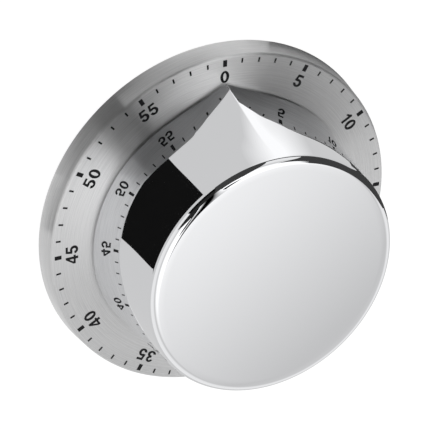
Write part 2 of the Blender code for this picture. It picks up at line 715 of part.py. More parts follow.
def make_third_set():
    levels = (SECOND_WHEEL_Z[0] - 0.2, SECOND_WHEEL_Z[1] + 0.3)
    axis = make_wheel_set("third", THIRD_AT, SECOND_MODULE, levels, SECOND_AT)
    gear_wheel("third_wheel", THIRD_TEETH, THIRD_MODULE, bearing_between(THIRD_AT, ESCAPE_AT),
               THIRD_WHEEL_Z, PIVOT_HOLE, 4, axis)


def make_escape_set():
    levels = (THIRD_WHEEL_Z[0] - 0.2, THIRD_WHEEL_Z[1] + 0.3)
    axis = make_wheel_set("escape", ESCAPE_AT, THIRD_MODULE, levels, THIRD_AT)
    outline = []
    for i in range(ESCAPE_TEETH):
        step = 360.0 / ESCAPE_TEETH
        outline.append(polar((ESCAPE_RADIUS, step * i)))
        outline.append(polar((ESCAPE_RADIUS, step * (i + 0.1))))
        outline.append(polar((ESCAPE_RADIUS - 1.1, step * (i + 0.45))))
    loops = [outline, circle(PIVOT_HOLE, 12)] + spoke_windows(4, 1.9, 3.5, 0.9)
    add_part("escape_wheel", flat_mesh("escape_wheel", loops, *ESCAPE_WHEEL_Z), BRASS, axis)


def make_anchor_set():
    """The anchor rocks over the escape wheel; a weighted bar on its arbor sets the beat."""
    axis = axis_empty("anchor_axis", ANCHOR_AT)
    shaft("anchor_arbor", STEEL, (ARBOR_RADIUS, FRONT_PLATE_Z + PLATE_SHEET - 0.1), BACK_PLATE_Z + 0.1,
          steps=12, parent=axis)
    towards = bearing_between(ANCHOR_AT, ESCAPE_AT)
    bore = circle(PIVOT_HOLE, 12)
    arm = [(1.5, 0.0), (3.2, 2.6), (3.5, 3.6), (2.4, 4.1), (0.6, 1.5), (-1.6, 0.7)]
    outline = rotated(arm + [(x, -y) for x, y in arm[:0:-1]], towards)
    anchor = add_part("anchor", flat_mesh("anchor", [outline, bore], *ANCHOR_Z), STEEL, axis)
    for x, y in rotated(PALLET_PINS, towards):
        pin = cutter_of(cylinder_mesh(PALLET_RADIUS, ESCAPE_WHEEL_Z[0] - 0.2, ANCHOR_Z[0] + 0.2, 12))
        boolean(anchor, "UNION", pin)
        pin.location = (x * MM, y * MM, 0.0)
    quarter = [(1.3, 1.0), (0.7, 3.0), (1.4, 3.6), (1.4, 5.0), (0.7, 5.6)]
    half = quarter + [(-x, y) for x, y in quarter[::-1]]
    bar = rotated(half + [(-x, -y) for x, y in half], towards)
    add_part("balance_weight", flat_mesh("balance_weight", [bar, bore], *BALANCE_Z), BRASS, axis)


def make_hammer_set():
    """The hammer's arm lies inside the bell, below the back plate; its tail is up in the movement."""
    axis = axis_empty("hammer_axis", HAMMER_AT)
    shaft("hammer_arbor", STEEL, (ARBOR_RADIUS, FRONT_PLATE_Z + PLATE_SHEET - 0.1), HAMMER_Z[0] - 0.2,
          steps=12, parent=axis)
    bore = circle(PIVOT_HOLE, 12)
    length = distance_between(HAMMER_AT, HAMMER_HEAD_AT)
    towards = bearing_between(HAMMER_AT, HAMMER_HEAD_AT)
    bar = [(length - 1.0, -0.4), (length, -0.4), (length, 0.4), (length - 1.0, 0.4)]
    outline = rotated(arc(1.5, 30.0, 330.0, 12) + bar, towards)
    arm = add_part("hammer_arm", flat_mesh("hammer_arm", [outline, bore], *HAMMER_Z), STEEL, axis)
    head = cutter_of(cylinder_mesh(1.25, HAMMER_Z[0] - 0.35, HAMMER_Z[1] + 0.9, 20))
    boolean(arm, "UNION", head)
    x, y = polar((length, towards))
    head.location = (x * MM, y * MM, 0.0)
    finger = [(4.6, -0.35), (4.9, 0.0), (4.6, 0.45), (2.2, 0.8)]
    tail = rotated(arc(1.5, 40.0, 320.0, 12) + finger, towards + HAMMER_TAIL_TURN)
    add_part("hammer_tail", flat_mesh("hammer_tail", [tail, bore], *HAMMER_TAIL_Z), STEEL, axis)


def make_trip_set():
    """The trip lever's nose rides on the edge of the cam."""
    axis = axis_empty("trip_axis", TRIP_AT)
    shaft("trip_pivot", STEEL, (ARBOR_RADIUS, 22.6), FRONT_PLATE_Z + PLATE_SHEET + GAP, steps=12,
          at=polar(TRIP_AT))
    nose_at = (CAM_RADIUS + 1.3, CAM_NOTCH_BEARING)
    length = distance_between(TRIP_AT, nose_at)
    nose = [(length - 1.4, -0.7), (length, -0.9), (length + 0.5, -0.2), (length + 0.3, 0.5),
            (length - 1.4, 0.6)]
    outline = rotated(arc(1.7, 32.0, 328.0, 12) + nose, bearing_between(TRIP_AT, nose_at))
    lever = flat_mesh("trip_lever", [outline, circle(PIVOT_HOLE, 12)], *CAM_Z)
    add_part("trip_lever", lever, STEEL, axis)


clear_scene()
PARTS = new_collection("kitchen_timer")
CUTTERS = new_collection("cutters")
make_dial_case()
make_back_cover()
make_pad_and_magnets()
make_plates()
make_fasteners()
make_bell()
make_mainspring()
make_coil_springs()
make_knob_body()
make_second_set()
make_third_set()
make_escape_set()
make_anchor_set()
make_hammer_set()
make_trip_set()
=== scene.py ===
"""Looks of the clockwork kitchen timer: brushed steel dial with a printed scale and a mirror-chromed knob.

Lengths are in metres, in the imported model's frame: the timer lies on its back, +Z out of the dial,
the 0 mark towards +Y. Bearings are degrees anticlockwise from +X.
"""
import json
import math

import bmesh
import bpy
from mathutils import Matrix, Vector


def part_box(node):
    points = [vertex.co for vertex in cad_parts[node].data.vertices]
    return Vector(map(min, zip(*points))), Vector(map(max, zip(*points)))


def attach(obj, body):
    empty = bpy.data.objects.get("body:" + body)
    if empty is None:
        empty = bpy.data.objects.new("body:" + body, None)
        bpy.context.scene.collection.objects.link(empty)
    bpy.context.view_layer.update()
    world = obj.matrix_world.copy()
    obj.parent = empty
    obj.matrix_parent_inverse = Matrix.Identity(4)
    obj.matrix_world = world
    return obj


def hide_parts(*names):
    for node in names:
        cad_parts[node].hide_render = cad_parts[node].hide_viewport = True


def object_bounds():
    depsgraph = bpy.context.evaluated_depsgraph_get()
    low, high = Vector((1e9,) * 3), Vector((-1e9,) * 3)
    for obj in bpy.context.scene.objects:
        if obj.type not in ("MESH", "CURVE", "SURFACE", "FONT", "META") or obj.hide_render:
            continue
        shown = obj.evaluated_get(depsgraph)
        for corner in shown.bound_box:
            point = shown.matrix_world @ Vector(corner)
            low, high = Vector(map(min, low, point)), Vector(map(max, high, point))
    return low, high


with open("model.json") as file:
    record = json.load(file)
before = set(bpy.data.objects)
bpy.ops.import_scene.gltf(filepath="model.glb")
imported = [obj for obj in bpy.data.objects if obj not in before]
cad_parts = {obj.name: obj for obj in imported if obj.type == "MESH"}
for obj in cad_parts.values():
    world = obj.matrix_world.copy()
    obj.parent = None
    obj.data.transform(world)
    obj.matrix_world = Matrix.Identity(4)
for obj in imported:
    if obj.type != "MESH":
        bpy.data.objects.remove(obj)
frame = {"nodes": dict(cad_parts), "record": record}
CAD_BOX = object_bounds()

MM = 0.001


def top_of(node):
    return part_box(node)[1].z


def bottom_of(node):
    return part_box(node)[0].z


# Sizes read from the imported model
CASE_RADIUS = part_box("dial_case")[1].x
KNOB_FOOT = bottom_of("knob_shell")
FACE_TOP = top_of("knob_shell")
DIAL_Z = KNOB_FOOT - 0.8 * MM
COLLAR_TOP = top_of("dial_case")
LIP_Z = bottom_of("dial_case")

# The knob, with the CAD solid's sizes but a rounder edge on its face
KNOB_DOME = 0.25 * MM
KNOB_FACE_Z = FACE_TOP - KNOB_DOME
KNOB_RADIUS = 29.6 * MM
KNOB_TAPER = 0.0992
KNOB_EDGE = 1.7 * MM
KNOB_WALL = 1.6 * MM
KNOB_CEILING = 1.5 * MM
KNOB_FOOT_EDGE = 0.15 * MM
KNOB_HUB_RADIUS = 6.0 * MM
KNOB_BORE_RADIUS = 3.9 * MM

# The pointer, and how softly its ridge and flanks run into the drum
POINTER_TIP = 32.85 * MM
POINTER_NOSE = 0.45 * MM
POINTER_HEIGHT = 17.7 * MM
POINTER_PINCH = 0.1
RIDGE_SPREAD = 0.1
RIDGE_RUN = 3.0 * MM
RIDGE_EASE = 0.25
FLANK_EASE = 10.0 * MM
FLANK_SOFTENING = 50

# How finely the knob is divided
TIP_STEPS = 10
FLANK_STEPS = 30
DRUM_STEPS = 130
WALL_STEPS = 60
EDGE_STEPS = 12
FACE_STEPS = 20

# The dial case
DIAL_RADIUS = CASE_RADIUS - 0.5 * MM
CASE_OPENING = 27.0 * MM
SHEET = 0.6 * MM
CASE_STEPS = 360

# The printed scale; a tick is its inner radius, outer radius and half its width
LONG_TICK = (36.15 * MM, 37.65 * MM, 0.45 * MM)
SHORT_TICK = (36.5 * MM, 37.55 * MM, 0.2 * MM)
NUMBER_RADIUS = 33.85 * MM
NUMBER_HEIGHT = 2.75 * MM
NUMBER_WIDTH = 1.1 * NUMBER_HEIGHT
DIGIT_GAP = 0.1
PRINT_LIFT = 0.02 * MM

# The studio
TABLE_Z = CAD_BOX[0][2] + 0.1 * MM
CAMERA_BEARING = 126.7
CAMERA_ELEVATION = 50.1
CAMERA_DISTANCE = 0.528
CAMERA_ROLL = 137.2
CAMERA_AIM = Vector((-7.03 * MM, 9.11 * MM, DIAL_Z + 11.15 * MM))
LENS = 218.0
TENT_STRENGTH = 1.5
TABLE_GLOW = 0.65
CARD_STEPS = 24


# ---------------------------------------------------------------- shader helpers

class Shader:
    """A node material with a Principled shader, and short ways to add and join its nodes."""

    def __init__(self, name, colour, roughness, metallic):
        self.material = bpy.data.materials.new(name)
        self.material.use_nodes = True
        self.tree = self.material.node_tree
        self.principled = self.tree.nodes["Principled BSDF"]
        self.set("Base Color", (*colour, 1.0))
        self.set("Roughness", roughness)
        self.set("Metallic", metallic)

    def set(self, socket, value):
        self.principled.inputs[socket].default_value = value

    def add(self, kind, **settings):
        node = self.tree.nodes.new(kind)
        for key, value in settings.items():
            setattr(node, key, value)
        return node

    def join(self, output, target):
        self.tree.links.new(output, target)

    def math(self, operation, first, second=None):
        node = self.add("ShaderNodeMath", operation=operation)
        for socket, value in zip(node.inputs, (first, second)):
            if isinstance(value, (int, float)):
                socket.default_value = value
            elif value is not None:
                self.join(value, socket)
        return node.outputs[0]

    def noise(self, vector, scale, detail=3.0, roughness=0.5):
        node = self.add("ShaderNodeTexNoise")
        node.inputs["Scale"].default_value = scale
        node.inputs["Detail"].default_value = detail
        node.inputs["Roughness"].default_value = roughness
        self.join(vector, node.inputs["Vector"])
        return node.outputs["Fac"]

    def spread(self, value, low, high):
        """Stretch the middle of a noise, where most of it lies, over a range."""
        node = self.add("ShaderNodeMapRange")
        self.join(value, node.inputs["Value"])
        node.inputs["From Min"].default_value = 0.3
        node.inputs["From Max"].default_value = 0.7
        node.inputs["To Min"].default_value = low
        node.inputs["To Max"].default_value = high
        return node.outputs["Result"]

    def tint(self, value, dark, light):
        node = self.add("ShaderNodeMix", data_type="RGBA")
        self.join(value, node.inputs["Factor"])
        node.inputs[6].default_value = (*dark, 1.0)
        node.inputs[7].default_value = (*light, 1.0)
        self.join(node.outputs[2], self.principled.inputs["Base Color"])

    def bump(self, height, strength, distance):
        node = self.add("ShaderNodeBump")
        node.inputs["Strength"].default_value = strength
        node.inputs["Distance"].default_value = distance
        self.join(height, node.inputs["Height"])
        self.join(node.outputs["Normal"], self.principled.inputs["Normal"])

    def place(self):
        """Object coordinates, in metres."""
        return self.add("ShaderNodeTexCoord").outputs["Object"]


def brushed_ring_material(name, colour, roughness, anisotropy):
    """Metal brushed round the Z axis: fine grooves follow circles about it and scatter light across them."""
    mat = Shader(name, colour, roughness, 1.0)
    mat.set("Anisotropic", anisotropy)
    mat.set("Anisotropic Rotation", 0.25)
    tangent = mat.add("ShaderNodeTangent", direction_type="RADIAL", axis="Z")
    mat.join(tangent.outputs["Tangent"], mat.principled.inputs["Tangent"])
    split = mat.add("ShaderNodeSeparateXYZ")
    mat.join(mat.place(), split.inputs[0])
    x, y, z = split.outputs
    radius = mat.math("SQRT", mat.math("ADD", mat.math("MULTIPLY", x, x), mat.math("MULTIPLY", y, y)))
    grooves_per_metre = 9000.0
    breaks_round = 3.0
    grooves = mat.add("ShaderNodeCombineXYZ")
    for socket, side in zip(grooves.inputs, (x, y)):
        mat.join(mat.math("MULTIPLY", mat.math("DIVIDE", side, radius), breaks_round), socket)
    mat.join(mat.math("MULTIPLY", mat.math("ADD", radius, z), grooves_per_metre), grooves.inputs[2])
    fine = mat.noise(grooves.outputs[0], 1.0, detail=4.0, roughness=0.65)
    mat.join(mat.spread(fine, roughness - 0.05, roughness + 0.07), mat.principled.inputs["Roughness"])
    mat.tint(fine, tuple(0.6 * c for c in colour), tuple(min(1.0, 1.4 * c) for c in colour))
    mat.bump(fine, 0.4, 0.00002)
    return mat.material


def chrome_material():
    """Plated plastic: a mirror with a barely uneven surface and faint handling haze."""
    mat = Shader("mirror_chrome", (0.88, 0.885, 0.9), 0.02, 1.0)
    place = mat.place()
    haze = mat.noise(place, 90.0, detail=2.0)
    mat.join(mat.spread(haze, 0.012, 0.035), mat.principled.inputs["Roughness"])
    ripple = mat.noise(place, 160.0, detail=1.0)
    mat.bump(ripple, 0.02, 0.00002)
    return mat.material


def ink_material():
    mat = Shader("scale_ink", (0.006, 0.006, 0.007), 0.4, 0.0)
    mat.set("Specular IOR Level", 0.15)
    grain = mat.noise(mat.place(), 5000.0)
    mat.join(mat.spread(grain, 0.35, 0.5), mat.principled.inputs["Roughness"])
    mat.tint(grain, (0.004, 0.004, 0.005), (0.012, 0.012, 0.013))
    return mat.material


def metal_material(name, colour, roughness):
    """Stamped or drawn metal inside the movement, with fine mottling and small tool marks."""
    mat = Shader(name, colour, roughness, 1.0)
    place = mat.place()
    mottle = mat.noise(place, 700.0, detail=5.0)
    mat.join(mat.spread(mottle, roughness - 0.08, roughness + 0.1), mat.principled.inputs["Roughness"])
    mat.tint(mottle, tuple(0.82 * c for c in colour), tuple(min(1.0, 1.08 * c) for c in colour))
    mat.bump(mat.noise(place, 3000.0), 0.1, 0.00001)
    return mat.material


def moulded_material(name, colour, roughness, grain_scale, grain_depth):
    """Moulded plastic, rubber or ferrite with an even fine grain."""
    mat = Shader(name, colour, roughness, 0.0)
    place = mat.place()
    grain = mat.noise(place, grain_scale, detail=4.0, roughness=0.6)
    cloud = mat.noise(place, 60.0, detail=2.0)
    mat.join(mat.spread(cloud, roughness - 0.06, roughness + 0.06), mat.principled.inputs["Roughness"])
    mat.tint(grain, tuple(0.75 * c for c in colour), tuple(1.35 * c for c in colour))
    mat.bump(grain, 0.35, grain_depth)
    return mat.material


# ---------------------------------------------------------------- mesh helpers

def new_object(name, mesh, material):
    obj = bpy.data.objects.new(name, mesh)
    bpy.context.scene.collection.objects.link(obj)
    mesh.materials.clear()
    mesh.materials.append(material)
    return obj


def smooth(mesh):
    mesh.shade_smooth()
    mesh.set_sharp_from_angle(angle=math.radians(35.0))


def skin(name, rings, material, close_first=False, close_last=False, loop=False):
    """A surface through rings of equal point count; ends may be closed with a fan."""
    body = bmesh.new()
    rows = [[body.verts.new(point) for point in ring] for ring in rings]
    if loop:
        rows.append(rows[0])
    count = len(rows[0])
    for lower, upper in zip(rows, rows[1:]):
        for i in range(count):
            j = (i + 1) % count
            body.faces.new((lower[i], lower[j], upper[j], upper[i]))
    for wanted, row in ((close_first, rows[0]), (close_last, rows[-1])):
        if wanted:
            centre = body.verts.new(sum((v.co for v in row), Vector()) / count)
            for i in range(count):
                body.faces.new((row[i], row[(i + 1) % count], centre))
    bmesh.ops.recalc_face_normals(body, faces=body.faces)
    mesh = bpy.data.meshes.new(name)
    body.to_mesh(mesh)
    body.free()
    smooth(mesh)
    return new_object(name, mesh, material)


def turned(name, profile, steps, material):
    """A closed ring profile, (radius, z) points, turned round the Z axis."""
    turns = [2.0 * math.pi * i / steps for i in range(steps)]
    rings = [[(radius * math.cos(turn), radius * math.sin(turn), z) for turn in turns]
             for radius, z in profile]
    return skin(name, rings, material, loop=True)


def arc(centre, radii, first, last, steps=14):
    """Points along part of an ellipse, between two angles in degrees."""
    points = []
    for i in range(steps + 1):
        angle = math.radians(first + (last - first) * i / steps)
        points.append((centre[0] + radii[0] * math.cos(angle), centre[1] + radii[1] * math.sin(angle)))
    return points


# ---------------------------------------------------------------- dial case

def make_dial_case(material):
    """The pressed steel dish with a rounded rim, a rolled-in lip and a drawn collar under the knob."""
    rim_radii = (0.7 * MM, 0.6 * MM)
    lip_radius = 0.45 * MM
    lip_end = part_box("back_cover")[1].x + 0.3 * MM
    collar = [(CASE_OPENING, COLLAR_TOP), (CASE_OPENING + 0.5 * MM, COLLAR_TOP),
              (CASE_OPENING + 0.5 * MM, DIAL_Z + 0.3 * MM), (CASE_OPENING + 0.6 * MM, DIAL_Z + 0.1 * MM),
              (CASE_OPENING + 0.8 * MM, DIAL_Z)]
    rim = arc((DIAL_RADIUS - rim_radii[0], DIAL_Z - rim_radii[1]), rim_radii, 90.0, 0.0, 10)
    lip = arc((CASE_RADIUS - lip_radius, LIP_Z + lip_radius), (lip_radius, lip_radius), 0.0, -90.0, 8)
    inside = [(lip_end, LIP_Z), (lip_end, LIP_Z + 0.35 * MM), (CASE_RADIUS - SHEET, LIP_Z + 0.75 * MM),
              (DIAL_RADIUS - SHEET, DIAL_Z - 0.9 * MM), (DIAL_RADIUS - SHEET - 0.3 * MM, DIAL_Z - SHEET),
              (CASE_OPENING + 0.4 * MM, DIAL_Z - SHEET), (CASE_OPENING, DIAL_Z - 0.2 * MM)]
    case = turned("dial_case_brushed", collar + rim + lip + inside, CASE_STEPS, material)
    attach(case, "base")
    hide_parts("dial_case")


# ---------------------------------------------------------------- printed scale

def make_ticks(material):
    """Sixty printed bars, a longer and bolder one every five minutes."""
    body = bmesh.new()
    for minute in range(60):
        turn = Matrix.Rotation(-math.radians(6.0 * minute), 4, "Z")
        inner, outer, half = LONG_TICK if minute % 5 == 0 else SHORT_TICK
        corners = [(-half, inner), (half, inner), (half, outer), (-half, outer)]
        top = [body.verts.new(turn @ Vector((x, y, DIAL_Z + PRINT_LIFT))) for x, y in corners]
        bottom = [body.verts.new(turn @ Vector((x, y, DIAL_Z - PRINT_LIFT))) for x, y in corners]
        body.faces.new(top)
        body.faces.new(bottom[::-1])
        for i in range(4):
            j = (i + 1) % 4
            body.faces.new((top[j], top[i], bottom[i], bottom[j]))
    mesh = bpy.data.meshes.new("scale_ticks")
    body.to_mesh(mesh)
    body.free()
    ticks = new_object("scale_ticks", mesh, material)
    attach(ticks, "base")


def digit_shapes():
    """Bold upright digits: for each a width and its closed outlines, in units of the digit's height."""
    bowl = (0.335, 0.7)
    high = (0.32, 0.735)
    low = (0.32, 0.29)
    belly = (0.325, 0.325)
    middle = (0.33, 0.5)
    zero = [arc(middle, (0.33, 0.5), 0.0, 345.0, 23), arc(middle, (0.12, 0.325), 0.0, 345.0, 23)]
    one = [[(0.2, 0.0), (0.39, 0.0), (0.39, 1.0), (0.235, 1.0), (0.13, 0.86), (0.0, 0.79), (0.0, 0.63),
            (0.11, 0.67), (0.2, 0.735)]]
    two = [arc(bowl, (0.315, 0.3), 180.0, -35.0)
           + [(0.3, 0.175), (0.65, 0.175), (0.65, 0.0), (0.0, 0.0), (0.02, 0.1), (0.12, 0.235)]
           + arc(bowl, (0.115, 0.125), -35.0, 178.0)]
    three = [arc(high, (0.275, 0.265), 175.0, -48.0) + arc(low, (0.325, 0.29), 52.0, -175.0)
             + arc(low, (0.12, 0.12), -175.0, 80.0) + [(0.25, 0.425), (0.23, 0.585)]
             + arc(high, (0.095, 0.11), -75.0, 175.0)]
    four = [[(0.375, 0.0), (0.565, 0.0), (0.565, 0.2), (0.68, 0.2), (0.68, 0.365), (0.565, 0.365),
             (0.565, 1.0), (0.4, 1.0), (0.0, 0.37), (0.0, 0.2), (0.375, 0.2)],
            [(0.375, 0.365), (0.375, 0.7), (0.165, 0.365)]]
    five = [[(0.115, 1.0), (0.6, 1.0), (0.6, 0.825), (0.255, 0.825), (0.228, 0.65)]
            + arc(belly, (0.325, 0.33), 105.0, -172.0) + arc(belly, (0.12, 0.15), -172.0, 125.0)
            + [(0.195, 0.455), (0.03, 0.48)]]
    return {"0": (0.66, zero), "1": (0.45, one), "2": (0.65, two), "3": (0.645, three), "4": (0.68, four),
            "5": (0.65, five)}


def number_loops(text, shapes):
    """Outlines of a whole number, centred on the origin, in metres."""
    width = sum(shapes[digit][0] for digit in text) + DIGIT_GAP * (len(text) - 1)
    start = -0.5 * width
    loops = []
    for digit in text:
        advance, outlines = shapes[digit]
        loops += [[((start + x) * NUMBER_WIDTH, (y - 0.5) * NUMBER_HEIGHT) for x, y in outline]
                  for outline in outlines]
        start += advance + DIGIT_GAP
    return loops


def printed_mesh(name, loops):
    """Flat print, filled from closed outlines, standing a hair above the dial."""
    curve = bpy.data.curves.new(name, "CURVE")
    curve.dimensions = "2D"
    curve.fill_mode = "BOTH"
    curve.extrude = PRINT_LIFT
    for loop in loops:
        spline = curve.splines.new("POLY")
        spline.points.add(len(loop) - 1)
        spline.use_cyclic_u = True
        for point, (x, y) in zip(spline.points, loop):
            point.co = (x, y, 0.0, 1.0)
    holder = bpy.data.objects.new(name, curve)
    bpy.context.scene.collection.objects.link(holder)
    mesh = bpy.data.meshes.new_from_object(holder.evaluated_get(bpy.context.evaluated_depsgraph_get()))
    bpy.data.objects.remove(holder, do_unlink=True)
    mesh.transform(Matrix.Translation((0.0, 0.0, DIAL_Z)))
    return mesh


def make_numbers(material):
    """The minutes 0 to 55, their heads outwards."""
    shapes = digit_shapes()
    loops = []
    for minute in range(0, 60, 5):
        turn = -math.radians(6.0 * minute)
        for loop in number_loops(str(minute), shapes):
            loops.append([(x * math.cos(turn) - (y + NUMBER_RADIUS) * math.sin(turn),
                           x * math.sin(turn) + (y + NUMBER_RADIUS) * math.cos(turn)) for x, y in loop])
    numbers = new_object("scale_numbers", printed_mesh("scale_numbers", loops), material)
    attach(numbers, "base")


# ---------------------------------------------------------------- knob

def knob_radius_at(height):
    return KNOB_RADIUS - KNOB_TAPER * height


def eased(value, corner, reach):
    """How far value is past a corner, with the bend spread over a reach on both sides of it."""
    past = value - corner
    if past <= -reach:
        return 0.0
    if past >= reach:
        return past
    return (past + reach) ** 2 / (4.0 * reach)


def knob_foot_outline():
    """Half of the foot's outline, from the pointer round to the far side, and the bearing each point takes
    where the pointer has become a circle."""
    nose_centre = POINTER_TIP - POINTER_NOSE
    tangent = math.acos((KNOB_RADIUS - POINTER_NOSE) / nose_centre)
    points = []
    for i in range(TIP_STEPS + 1):
        angle = tangent * i / TIP_STEPS
        points.append(Vector((math.sin(angle), math.cos(angle))) * POINTER_NOSE + Vector((0.0, nose_centre)))
    start = points[-1]
    end = Vector((math.sin(tangent), math.cos(tangent))) * KNOB_RADIUS
    points += [start.lerp(end, i / FLANK_STEPS) for i in range(1, FLANK_STEPS + 1)]
    corner = POINTER_NOSE * tangent + (end - start).length
    for i in range(1, DRUM_STEPS + 1):
        angle = tangent + (math.pi - tangent) * i / DRUM_STEPS
        points.append(Vector((math.sin(angle), math.cos(angle))) * KNOB_RADIUS)
    runs = [0.0]
    for first, second in zip(points, points[1:]):
        runs.append(runs[-1] + (second - first).length)
    slow = POINTER_PINCH * tangent / corner
    fast = (math.pi - RIDGE_SPREAD - slow * runs[-1]) / (runs[-1] - corner)
    bearings = []
    for run in runs:
        ridge = RIDGE_SPREAD * (1.0 - math.exp(-run / RIDGE_RUN))
        bearings.append(ridge + slow * run + fast * eased(run, corner, FLANK_EASE))
    bearings[-1] = math.pi
    return soften(points, TIP_STEPS + FLANK_STEPS, FLANK_STEPS - 6), bearings


def soften(points, corner, reach):
    """Ease the bend of an outline within a number of points of a corner."""
    points = list(points)
    for _ in range(FLANK_SOFTENING):
        for i in range(corner - reach, corner + reach):
            share = 1.0 - (abs(i - corner) / reach) ** 2
            points[i] = points[i].lerp(0.5 * (points[i - 1] + points[i + 1]), 0.5 * share)
    return points


def knob_section(height, foot, bearings):
    """Half of the knob's outline at a height above the dial; the pointer melts into a circle."""
    radius = knob_radius_at(height)
    rise = height / POINTER_HEIGHT
    blend = rise - eased(rise, 1.0, RIDGE_EASE)
    return [point * ((1.0 - blend) * radius / KNOB_RADIUS)
            + Vector((math.sin(b), math.cos(b))) * (blend * radius) for point, b in zip(foot, bearings)]


def whole_ring(half, z):
    return [(p.x, p.y, z) for p in half] + [(-p.x, p.y, z) for p in half[-2:0:-1]]


def scaled_ring(ring, factor, z):
    return [(x * factor, y * factor, z) for x, y, _ in ring]


def knob_inside_rings(foot, foot_ring):
    """From the bore up the hub, across the ceiling and down the inside of the wall to the foot."""
    bearings = [math.atan2(y, x) for x, y, _ in foot_ring]
    ceiling = KNOB_FACE_Z - KNOB_CEILING
    hub_end = bottom_of("hub_bush") - 0.2 * MM
    top_radius = knob_radius_at(ceiling - DIAL_Z) - KNOB_WALL
    profile = [(KNOB_BORE_RADIUS, ceiling - 0.5 * MM), (KNOB_BORE_RADIUS, hub_end),
               (KNOB_HUB_RADIUS, hub_end), (KNOB_HUB_RADIUS, ceiling), (top_radius - 1.0 * MM, ceiling),
               (top_radius, ceiling - 1.0 * MM), (knob_radius_at(foot) - KNOB_WALL, KNOB_FOOT)]
    return [[(radius * math.cos(b), radius * math.sin(b), z) for b in bearings] for radius, z in profile]


def knob_face_rings(wall_ring, wall_radius):
    """Round the edge and in over the slightly domed face."""
    rings = []
    for i in range(1, EDGE_STEPS + 1):
        turn = 0.5 * math.pi * i / EDGE_STEPS
        radius = wall_radius - KNOB_EDGE * (1.0 - math.cos(turn))
        z = KNOB_FACE_Z - KNOB_EDGE * (1.0 - math.sin(turn))
        rings.append(scaled_ring(wall_ring, radius / wall_radius, z))
    face_share = (wall_radius - KNOB_EDGE) / wall_radius
    for i in range(1, FACE_STEPS):
        share = 1.0 - i / FACE_STEPS
        rings.append(scaled_ring(wall_ring, share * face_share, KNOB_FACE_Z + KNOB_DOME * (1.0 - share ** 2)))
    return rings


def make_knob(material):
    """The hollow chromed knob, one closed skin from its bore round the wall to the middle of its face."""
    foot = KNOB_FOOT - DIAL_Z
    wall_start = foot + KNOB_FOOT_EDGE
    wall_top = KNOB_FACE_Z - DIAL_Z - KNOB_EDGE
    outline, turns = knob_foot_outline()
    foot_ring = whole_ring(knob_section(foot, outline, turns), KNOB_FOOT)
    rings = knob_inside_rings(foot, foot_ring)
    rings.append(scaled_ring(foot_ring, 1.0 - KNOB_FOOT_EDGE / KNOB_RADIUS, KNOB_FOOT))
    for i in range(WALL_STEPS + 1):
        height = wall_start + (wall_top - wall_start) * i / WALL_STEPS
        rings.append(whole_ring(knob_section(height, outline, turns), DIAL_Z + height))
    rings += knob_face_rings(rings[-1], knob_radius_at(wall_top))
    knob = skin("knob_polished", rings, material, close_first=True, close_last=True)
    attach(knob, "knob")
    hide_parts("knob_shell")


# ---------------------------------------------------------------- studio

def glow_material(name, glow, diffuse=0.0):
    mat = Shader(name, (diffuse, diffuse, diffuse), 1.0, 0.0)
    mat.set("Specular IOR Level", 0.0)
    mat.set("Emission Color", (1.0, 1.0, 1.0, 1.0))
    mat.set("Emission Strength", glow)
    return mat.material


def only_camera_sees(obj):
    obj.visible_glossy = False
    obj.visible_diffuse = False
    obj.visible_shadow = False


def only_polish_sees(obj):
    obj.visible_camera = False
    obj.visible_diffuse = False
    obj.visible_shadow = False


def card(name, columns, glow, feather=0, edge_glow=TABLE_GLOW):
    """A card through columns of points. Its side edges may fade, over some columns, to another brightness."""
    body = bmesh.new()
    shade = body.verts.layers.float.new("glow")
    rows = []
    for i, column in enumerate(columns):
        inset = min(i, len(columns) - 1 - i)
        share = 1.0 if inset >= feather else inset / feather
        rows.append([body.verts.new(point) for point in column])
        for vertex in rows[-1]:
            vertex[shade] = edge_glow + (glow - edge_glow) * share
    for left, right in zip(rows, rows[1:]):
        for k in range(len(left) - 1):
            body.faces.new((left[k], right[k], right[k + 1], left[k + 1]))
    mesh = bpy.data.meshes.new(name)
    body.to_mesh(mesh)
    body.free()
    mat = Shader(name, (0.0, 0.0, 0.0), 1.0, 0.0)
    mat.set("Specular IOR Level", 0.0)
    mat.set("Emission Color", (1.0, 1.0, 1.0, 1.0))
    attribute = mat.add("ShaderNodeAttribute", attribute_name="glow")
    mat.join(attribute.outputs["Fac"], mat.principled.inputs["Emission Strength"])
    only_polish_sees(new_object(name, mesh, mat.material))


def round_the_timer(first, last, profile):
    """Columns of a card between two bearings, each with the same (radius, z) profile."""
    columns = []
    for i in range(CARD_STEPS + 1):
        angle = math.radians(first + (last - first) * i / CARD_STEPS)
        columns.append([(r * math.cos(angle), r * math.sin(angle), z) for r, z in profile])
    return columns


def mirrored_in_drum(first, last, near, far):
    """Columns of a card on the table that the camera sees in the drum's wall between two bearings."""
    columns = []
    for i in range(CARD_STEPS + 1):
        wall = math.radians(first + (last - first) * i / CARD_STEPS)
        leaving = 2.0 * wall - math.radians(CAMERA_BEARING)
        start = KNOB_RADIUS * Vector((math.cos(wall), math.sin(wall)))
        away = Vector((math.cos(leaving), math.sin(leaving)))
        along = start.dot(away)
        columns.append([])
        for radius in (near, far):
            reach = math.sqrt(radius ** 2 - start.length_squared + along ** 2) - along
            columns[-1].append((*(start + reach * away), TABLE_Z))
    return columns


def standing(low, high, distance, steps=8):
    """Profile of a card that stands round the timer, between two elevations in degrees."""
    profile = []
    for i in range(steps + 1):
        angle = math.radians(low + (high - low) * i / steps)
        profile.append((distance * math.cos(angle), distance * math.sin(angle)))
    return profile


